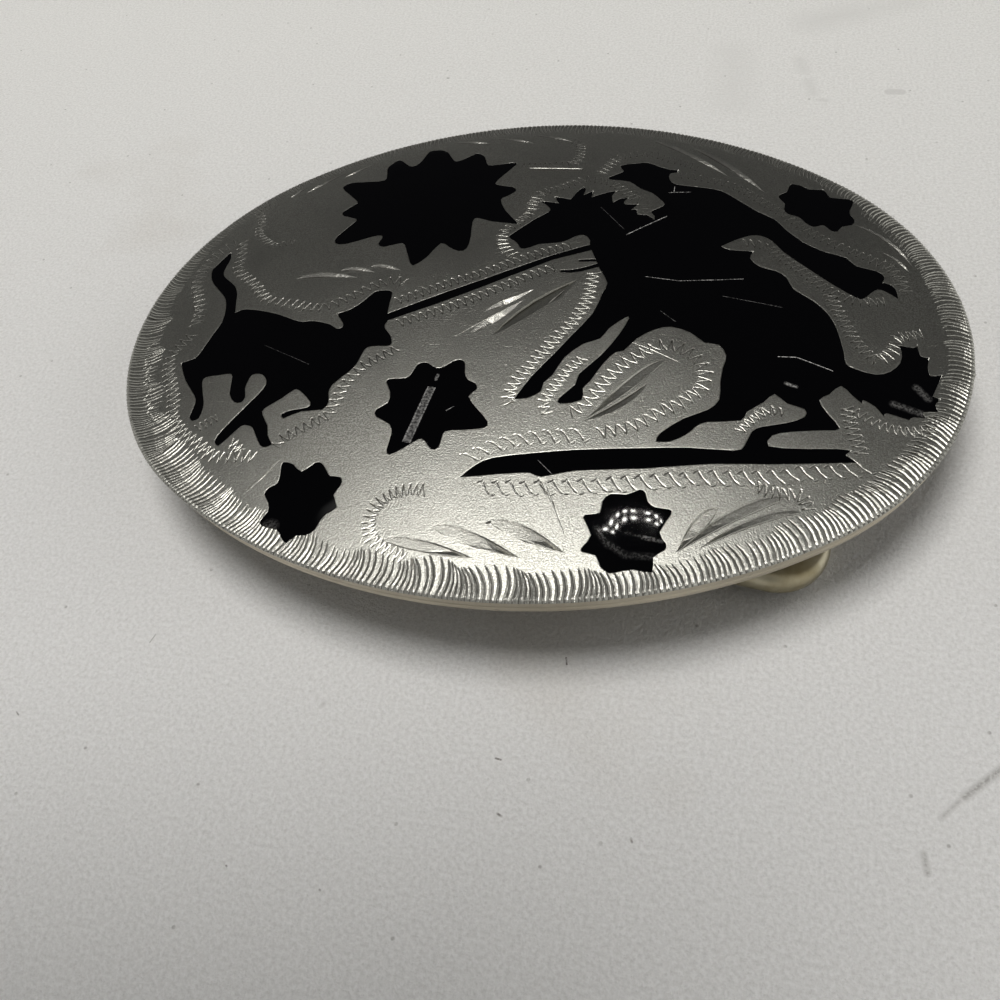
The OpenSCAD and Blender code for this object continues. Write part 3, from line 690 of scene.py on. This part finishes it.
# The fittings on the back: the hinge tube with its bore and eased ends, the saddle strip that it
# is soldered to, and the post with its rounded tip and its foot. They are hidden, so plain.
HINGE_X, HINGE_Z = 11, 6.5
BORE_R, TUBE_R, TUBE_END, EASED = 1.26, 2.1, 23.55, 0.15
lathe(((BORE_R, -TUBE_END), (TUBE_R - EASED, -TUBE_END), (TUBE_R, EASED - TUBE_END),
       (TUBE_R, TUBE_END - EASED), (TUBE_R - EASED, TUBE_END), (BORE_R, TUBE_END),
       (BORE_R, -TUBE_END)), (HINGE_X, 0, HINGE_Z), (0, 1, 0))
POST_X, POST_R, FOOT_R, FOOT_Z, FOOT_TOP = -31, 2.2, 3.4, 7.2, 8.6
tip = [(POST_R * math.sin(k * math.pi / 16), POST_R - POST_R * math.cos(k * math.pi / 16))
       for k in range(1, 9)]
lathe([(0.001, 0)] + tip + [(POST_R, FOOT_Z - 0.1), (POST_R + 0.1, FOOT_Z), (FOOT_R - 0.1, FOOT_Z),
                            (FOOT_R, FOOT_Z + 0.1), (FOOT_R, FOOT_TOP)], (POST_X, 0, 0), (0, 0, 1))
SADDLE_WIDTH, SADDLE_Z = 3, 7.4
SUNK = 0.1  # the saddle reaches this far into the backing sheet
saddle = bmesh.ops.create_grid(bm, x_segments=1, y_segments=24, size=0.5)["verts"]
for v in saddle:
    v.co = Vector((HINGE_X + v.co.x * SADDLE_WIDTH, v.co.y * 2 * TUBE_END, SADDLE_Z))
strip = list(dict.fromkeys(f for v in saddle for f in v.link_faces))
made = bmesh.ops.extrude_face_region(bm, geom=strip)
for v in (g for g in made["geom"] if isinstance(g, bmesh.types.BMVert)):
    v.co.z = dome(v.co.x, v.co.y, FACE_SHEET + BACKING_SHEET - SUNK)
bmesh.ops.remove_doubles(bm, verts=bm.verts, dist=1e-4)


def noise(tree, vector, scale, detail, roughness=0.5):
    """A noise of so many grains a metre, where the vector is in metres."""
    return add(tree, "ShaderNodeTexNoise", {"Vector": vector, "Scale": scale, "Detail": detail,
                                            "Roughness": roughness}).outputs["Fac"]


# Nickel silver, rolled, polished and dulled by wear: a soft satin sheen with a fine grain, faint
# hairlines, cleaner metal in the polished cuts, lightened further by a painted highlight, an edge
# wall coloured paler as painted light, and brown grime at the cuts' bottoms. The grain is drawn
# at 0.15 mm, coarser than the real one, so that it shows.
plate_mat, tree, shader, place = material("nickel_silver_engraved")
shader.inputs["Metallic"].default_value = 1
groove = add(tree, "ShaderNodeAttribute", attribute_name="groove").outputs["Fac"]
grain = noise(tree, place, 6500, 3)
cloud = noise(tree, place, 90, 4)
height, scored = grain, 0.0
# Hairlines of wear, 3 mm long; finer than 0.1 mm wouldn't show. Columns: turn, lines a metre
# across them, value of the noise above which a line shows
for turn, across, shows in (
        (15, 9000, 0.66), (-40, 8000, 0.67), (70, 8500, 0.67), (-75, 7000, 0.68)):
    spun = add(tree, "ShaderNodeMapping", {"Vector": place, "Rotation": (0, 0, math.radians(turn)),
                                           "Scale": (300, across, 300)}).outputs[0]
    lines = noise(tree, spun, 1, 2)
    height = maths(tree, "SUBTRACT", height, ramp(tree, lines, shows, shows + 0.08, 0, 0.1))
    scored = maths(tree, "MAXIMUM", ramp(tree, lines, shows, shows + 0.06, 0, 0.12), scored)
bump = add(tree, "ShaderNodeBump", {"Height": height, "Strength": 0.8, "Distance": 0.00004})
tree.links.new(bump.outputs[0], shader.inputs["Normal"])
metal_colour = mix(tree, ramp(tree, cloud, 0.35, 0.7), linear("9D9C95"), linear("888780"))
metal_colour = mix(tree, ramp(tree, grain, 0.42, 0.62), metal_colour, linear("AEADA6"))
metal_colour = mix(tree, scored, metal_colour, linear("D2CFC9"))
wall = add(tree, "ShaderNodeAttribute", attribute_name="wall").outputs["Fac"]
# painted light: the edge's wall is coloured paler than the face, standing in for the light it would
# mirror from the table
wall_painted_light = mix(tree, ramp(tree, cloud, 0.3, 0.7), linear("D2CAB8"), linear("B4AC9B"))
metal_colour = mix(tree, wall, metal_colour, wall_painted_light)
# bright: the cuts' flanks coloured lighter, partly the cleaner metal of a fresh cut and partly a
# painted highlight
bright = add(tree, "ShaderNodeAttribute", attribute_name="bright").outputs["Fac"]
metal_colour = mix(tree, bright, metal_colour, linear("D8D6CF"))
grimed = mix(tree, ramp(tree, groove, 0.62, 1, 0, 0.95), metal_colour, linear("3A352C"))
tree.links.new(grimed, shader.inputs["Base Color"])
dull_wall = maths(tree, "MULTIPLY", wall, 0.55)
rough = maths(tree, "MAXIMUM", ramp(tree, cloud, 0.3, 0.7, 0.31, 0.36), dull_wall)
tree.links.new(rough, shader.inputs["Roughness"])

plate = finish_mesh("plate_engraved", bm, plate_mat, "buckle")
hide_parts("plate")

# The field between the cuts takes the dome's own normals, and the cuts' flanks stay flat. Sizes
# are in metres here.
ON_DOME = 2e-6
FACE_FROM = 0.0055  # the face is nowhere lower
FIELD_UP, FLANK_UP = 0.9, 0.3  # the field and the flanks point up more than this
mesh = plate.data
dome_centre = Vector((0, 0, (CROWN - DOME) / 1000))
on_dome = [v.co.z > 0 and abs((v.co - dome_centre).length - DOME / 1000) < ON_DOME
           for v in mesh.vertices]
normals = [None] * len(mesh.loops)
for polygon in mesh.polygons:
    dome_face = polygon.normal.z > FIELD_UP and all(on_dome[i] for i in polygon.vertices)
    cut_face = polygon.normal.z > FLANK_UP and not dome_face and polygon.center.z > FACE_FROM
    for k in polygon.loop_indices:
        if dome_face:
            normals[k] = (mesh.vertices[mesh.loops[k].vertex_index].co - dome_centre).normalized()
        elif cut_face:
            normals[k] = polygon.normal.copy()
        else:
            normals[k] = Vector((0, 0, 0))
mesh.normals_split_custom_set(normals)


# Inlays: black resin poured into the recesses, cured and polished flush with the metal. The CAD
# solids keep their shape; the copies have one skin each, and the dome's own normals on top. The
# gloss is deep and a little wavy, with pale scratches and scuffs.
resin, tree, shader, place = material("black_resin_polished")
shader.inputs["IOR"].default_value = 1.5
wave = noise(tree, place, 230, 1)
bump = add(tree, "ShaderNodeBump", {"Height": wave, "Strength": 0.15, "Distance": 0.0002})
tree.links.new(bump.outputs[0], shader.inputs["Normal"])


def scratch(tree, place, x0, y0, x1, y1, width, crisp):
    """1 on a straight mark from one point to the other, in mm, fading beyond its crisp part."""
    long = math.hypot(x1 - x0, y1 - y0)
    local = add(tree, "ShaderNodeMapping", {
        "Vector": place, "Location": ((x0 + x1) / 2000, (y0 + y1) / 2000, 0),
        "Rotation": (0, 0, math.atan2(y1 - y0, x1 - x0)), "Scale": (0.001, 0.001, 0.001)},
        vector_type="TEXTURE").outputs[0]
    axes = add(tree, "ShaderNodeSeparateXYZ", {0: local}).outputs
    past_end = maths(tree, "SUBTRACT", maths(tree, "ABSOLUTE", axes["X"]), (long - width) / 2)
    across = maths(tree, "POWER", axes["Y"], 2)
    beyond = maths(tree, "POWER", maths(tree, "MAXIMUM", past_end, 0), 2)
    distance = maths(tree, "SQRT", maths(tree, "ADD", across, beyond))
    return ramp(tree, distance, width * crisp, width * 0.5, 1, 0)


# Marks on the resin. Columns: x, y of both ends, width, part of it that is crisp, how pale
marks = 0
torn = noise(tree, place, 4500, 3)
for *mark, pale in (
        (-7.2, -12.9, -8.3, -19.9, 0.95, 0.42, 0.16),
        (-7.55, -12.9, -8.65, -19.8, 0.2, 0.2, 0.3),
        (-6.85, -13, -7.95, -19.9, 0.2, 0.2, 0.26),
        (-7.0, -12.2, -6.9, -11.2, 0.4, 0.3, 0.2),
        (-5.2, -15.9, -4.5, -15.3, 0.08, 0.3, 0.5), (9.3, 11, 13.4, 14.9, 0.12, 0.3, 0.5),
        (13.2, 19.6, 15.7, 20, 0.09, 0.3, 0.5), (13.8, 21, 13.8, 19.6, 0.09, 0.3, 0.5),
        (12, 4.1, 15.5, 3.8, 0.08, 0.3, 0.4), (15.5, 3.8, 19, 4.4, 0.08, 0.3, 0.5),
        (18.6, 4.3, 22, 5, 0.08, 0.3, 0.4), (25.6, -5.8, 27.4, -5.6, 0.1, 0.3, 0.6),
        (27.4, -5.6, 30.8, -6.8, 0.1, 0.3, 0.6), (26.2, -9.1, 27.6, -9.5, 0.5, 0, 0.35),
        (-20.2, -29, -18.6, -30.4, 2.2, 0, 0.1), (35.8, -9.8, 39.5, -10.8, 1, 0, 0.12),
        (38.2, -7, 39.8, -9, 1, 0, 0.12), (4.5, -21, 6.2, -22.6, 0.07, 0.3, 0.3),
        (20, 2, 26, 1.2, 0.05, 0.3, 0.2), (14, -1, 15.6, -2.4, 0.05, 0.3, 0.2),
        (-27, -7, -21, -10, 0.05, 0.3, 0.12), (6, 16, 9, 12, 0.05, 0.3, 0.15),
        (10.4, -27.3, 12.1, -29.5, 0.9, 0, 0.05), (11.2, -28.6, 13.8, -30.2, 0.9, 0, 0.05),
        (12.8, -29.9, 16.2, -29.8, 0.9, 0, 0.045), (13, -27.7, 15.2, -28.1, 0.5, 0, 0.04),
        (14.4, -28, 16.6, -28.2, 0.6, 0, 0.09)):
    mark_value = maths(tree, "MULTIPLY", scratch(tree, place, *mark), pale)
    marks = maths(tree, "MAXIMUM", mark_value, marks)
broken = maths(tree, "MULTIPLY", marks, ramp(tree, torn, 0.42, 0.6, 0.2, 1.5))
tree.links.new(mix(tree, broken, linear("030304"), linear("C9C7C4")), shader.inputs["Base Color"])
tree.links.new(ramp(tree, marks, 0.02, 0.3, 0.035, 0.5), shader.inputs["Roughness"])
for name, cad in sorted(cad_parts.items()):
    if "inlay" not in name:
        continue
    bm = bmesh.new()
    bm.from_mesh(cad.data)
    bmesh.ops.remove_doubles(bm, verts=bm.verts, dist=1e-6)
    bmesh.ops.scale(bm, vec=(1000, 1000, 1000), verts=bm.verts)
    inlay = finish_mesh(name + "_resin", bm, resin, "buckle")
    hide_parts(name)
    mesh = inlay.data
    normals = []
    for polygon in mesh.polygons:
        for k in polygon.loop_indices:
            co = mesh.vertices[mesh.loops[k].vertex_index].co
            normals.append((co - dome_centre).normalized() if polygon.normal.z > TOP_NORMAL
                           else polygon.normal.copy())
    mesh.normals_split_custom_set(normals)


# Belt bail: a brass bar bent to a loop, its pin soldered through the eyes and free in the tube.
# It was never polished, so it has a dull yellow-brown tarnish in patches of some millimetres.
brass, tree, shader, place = material("bail_tarnished")
shader.inputs["Metallic"].default_value = 1
patch = noise(tree, place, 220, 5)
tree.links.new(mix(tree, ramp(tree, patch, 0.4, 0.62), linear("B6AF99"), linear("928768")),
               shader.inputs["Base Color"])
tree.links.new(ramp(tree, patch, 0.35, 0.65, 0.38, 0.6), shader.inputs["Roughness"])
bump = add(tree, "ShaderNodeBump", {"Height": patch, "Strength": 0.3, "Distance": 0.0001})
tree.links.new(bump.outputs[0], shader.inputs["Normal"])
bm = bmesh.new()
bm.from_mesh(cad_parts["bail"].data)
bmesh.ops.remove_doubles(bm, verts=bm.verts, dist=1e-6)
bmesh.ops.scale(bm, vec=(1000, 1000, 1000), verts=bm.verts)
bail = finish_mesh("bail_bar", bm, brass, "bail")
bail.data.set_sharp_from_angle(angle=math.radians(35))
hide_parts("bail")


# Table: a pale, matt leather sheet, worn and a little dirty: a grain of about 0.5 mm, soft
# swells, brown marks, specks and dust. Its colour also holds painted light, lighter towards the
# far side, and painted shade in the grain's hollows
sheet, tree, shader, place = material("pale_leather_sheet")
stain = noise(tree, place, 14, 6)
hide = add(tree, "ShaderNodeTexVoronoi", {"Vector": place, "Scale": 1500}).outputs["Distance"]
fine = noise(tree, place, 2600, 4, 0.7)
swell = noise(tree, place, 30, 3)
far_side = add(tree, "ShaderNodeSeparateXYZ", {0: place}).outputs["Y"]
# painted light: the sheet is coloured lighter towards the far side, where more light falls
pale = mix(tree, ramp(tree, far_side, -0.03, 0.08), linear("E2E1E0"), linear("EAE9E6"))
pale = mix(tree, ramp(tree, stain, 0.62, 0.8), pale, linear("CDC7BF"))
# Dirt and scratches. Columns: x, y of both ends, width, part of it that is crisp, how dark
specks = 0
for *mark, dark in (
        (39.9, 59.4, 43, 59.2, 1.6, 0.35, 0.22), (43.2, 59.7, 43.6, 59.5, 0.5, 0.2, 0.7),
        (26, 77, 41, 83, 10, 0, 0.13), (33, 79, 48, 86, 9, 0, 0.09), (18.6, 75, 20, 52, 9, 0, 0.08),
        (28.2, 69.5, 29.5, 63.6, 3, 0, 0.12), (29.5, 63.6, 30.8, 57.6, 2.8, 0, 0.12),
        (30.8, 57.6, 32.9, 57.1, 1.4, 0, 0.18), (41.4, -43.9, 45.4, -40.3, 1, 0, 0.6),
        (39.6, -45.9, 41.6, -43.7, 0.7, 0, 0.4), (38.3, -48.3, 38.6, -50.6, 0.8, 0, 0.5),
        (8.2, -34.4, 8.4, -35.3, 0.2, 0.3, 0.9), (-32.5, -37.4, -32.2, -36.3, 0.12, 0.3, 0.6),
        (-24, 64.2, -23.4, 64, 0.5, 0.2, 0.6), (-13.6, -41.7, -12.9, -41.9, 1.1, 0.1, 0.4),
        (3.4, -45, 4.1, -45.1, 0.22, 0.3, 0.8), (4.4, -49.8, 5, -50.1, 0.24, 0.3, 0.8),
        (15.7, -50.4, 15.9, -50.9, 0.24, 0.3, 0.7), (-42.8, -46, -42.3, -46.4, 0.16, 0.3, 0.7),
        (-17.4, -57.2, -17.2, -57.4, 0.2, 0.3, 0.7), (-8.9, -58, -8.7, -58.2, 0.2, 0.3, 0.7)):
    mark_value = maths(tree, "MULTIPLY", scratch(tree, place, *mark), dark)
    specks = maths(tree, "MAXIMUM", mark_value, specks)
dust = add(tree, "ShaderNodeTexVoronoi", {"Vector": place, "Scale": 75},
           voronoi_dimensions="2D").outputs["Distance"]
specks = maths(tree, "MAXIMUM", ramp(tree, dust, 0.008, 0.016, 0.5, 0), specks)
specks = maths(tree, "MULTIPLY", specks, ramp(tree, fine, 0.42, 0.55, 0.25, 1))
# painted shade: the grain's hollows are coloured darker, standing in for the shade of its relief
pale = mix(tree, ramp(tree, fine, 0.32, 0.62, 0.3, 0), pale, linear("8F8B84"))
tree.links.new(mix(tree, specks, pale, linear("4E463A")), shader.inputs["Base Color"])
shader.inputs["Roughness"].default_value = 0.6
height = maths(tree, "ADD", maths(tree, "MULTIPLY", hide, 0.1), maths(tree, "MULTIPLY", fine, 0.55))
height = maths(tree, "ADD", height, swell)
bump = add(tree, "ShaderNodeBump", {"Height": height, "Strength": 0.5, "Distance": 0.0015})
tree.links.new(bump.outputs[0], shader.inputs["Normal"])


def stage_mesh(name, bm, mat):
    """Turns a bmesh in metres into a thing that only dresses the picture."""
    mesh = bpy.data.meshes.new(name)
    bm.to_mesh(mesh)
    bm.free()
    mesh.materials.append(mat)
    obj = bpy.data.objects.new(name, mesh)
    scene.collection.objects.link(obj)


bm = bmesh.new()
bmesh.ops.create_grid(bm, x_segments=1, y_segments=1, size=1.5)
stage_mesh("table", bm, sheet)


# Light: a soft round panel overhead, to the left, which the near part of the face mirrors
panel = bpy.data.objects.new("ceiling_panel", bpy.data.lights.new("ceiling_panel", "AREA"))
panel.data.shape = "DISK"
panel.data.size = 0.6
panel.data.energy = 10.2
panel.data.color = (1, 0.99, 0.97)
panel.location = (-0.115, 0.035, 1.15)
scene.collection.objects.link(panel)

# Ring lamps: two part rings of small lamps beyond the far edge, which the resin of the nearest
# flower mirrors as two arcs of dots. Columns: radius, count, angle of the last lamp
FIRST_LAMP = 198  # angle of the first one
lamp_mat, tree, shader, place = material("ring_lamp_glow")
shader.inputs["Base Color"].default_value = (0, 0, 0, 1)
shader.inputs["Emission Color"].default_value = (1, 0.97, 0.92, 1)
shader.inputs["Emission Strength"].default_value = 80
bm = bmesh.new()
for ring_radius, count, last in ((0.036, 8, 306), (0.0275, 6, 303)):
    for k in range(count):
        angle = math.radians(FIRST_LAMP + (last - FIRST_LAMP) * k / (count - 1))
        spot = Matrix.Rotation(angle, 4, "Z") @ Matrix.Translation((ring_radius, 0, 0))
        bmesh.ops.create_circle(bm, cap_ends=True, segments=12, radius=0.0021,
                                matrix=spot @ Matrix.Diagonal((0.6, 1, 1, 1)))
lamp_place = Vector((0.0349, 0.1979, 0.574))
flower_place = Vector((0.014, -0.0286, 0.0106))
facing = (flower_place - lamp_place).to_track_quat("Z", "Y").to_matrix().to_4x4()
bmesh.ops.transform(bm, matrix=Matrix.Translation(lamp_place) @ facing, verts=bm.verts)
stage_mesh("ring_lamp", bm, lamp_mat)

# Phone: the one that takes the picture, with its lens near one corner; it shades the near part
# of the table
phone_mat, tree, shader, place = material("black_glass")
shader.inputs["Base Color"].default_value = linear("101012")
shader.inputs["Roughness"].default_value = 0.4
bm = bmesh.new()
body = Matrix.Translation((-0.07, -0.027, 0.008)) @ Matrix.Diagonal((0.14, 0.14, 0.008, 1))
bmesh.ops.create_cube(bm, size=1, matrix=camera.matrix_world @ body)
stage_mesh("phone", bm, phone_mat)

# Room: dim on the near side, nearly black above the far side, which most of the face mirrors,
# with a window at either side, one lamp, and the dark shape of the person behind the phone
world = bpy.data.worlds.new("room")
scene.world = world
world.use_nodes = True
tree = world.node_tree
direction = add(tree, "ShaderNodeTexCoord").outputs["Generated"]
parts = add(tree, "ShaderNodeSeparateXYZ", {0: direction}).outputs
far = mix(tree, ramp(tree, parts["Z"], 0.05, 0.3), (0.25, 0.25, 0.24, 1), (0.015, 0.015, 0.016, 1))
sky = mix(tree, ramp(tree, parts["Y"], -0.25, 0.3), (0.4, 0.4, 0.39, 1), far)
sky = mix(tree, ramp(tree, parts["X"], 0.6, 0.74), sky, (1, 1, 0.97, 1))
sky = mix(tree, ramp(tree, parts["X"], -0.78, -0.88), sky, (0.6, 0.6, 0.58, 1))
for way, low, high, colour in (((-0.326, 0.344, 0.881), 0.99, 0.996, (1.1, 1.08, 1.04, 1)),
                               (to_lens, 0.8, 0.93, (0.04, 0.04, 0.04, 1))):
    near = add(tree, "ShaderNodeVectorMath", {0: direction, 1: way}, operation="DOT_PRODUCT")
    sky = mix(tree, ramp(tree, near.outputs["Value"], low, high), sky, colour)
tree.links.new(sky, tree.nodes["Background"].inputs["Color"])
tree.nodes["Background"].inputs["Strength"].default_value = 1
scene.view_settings.view_transform = "Standard"
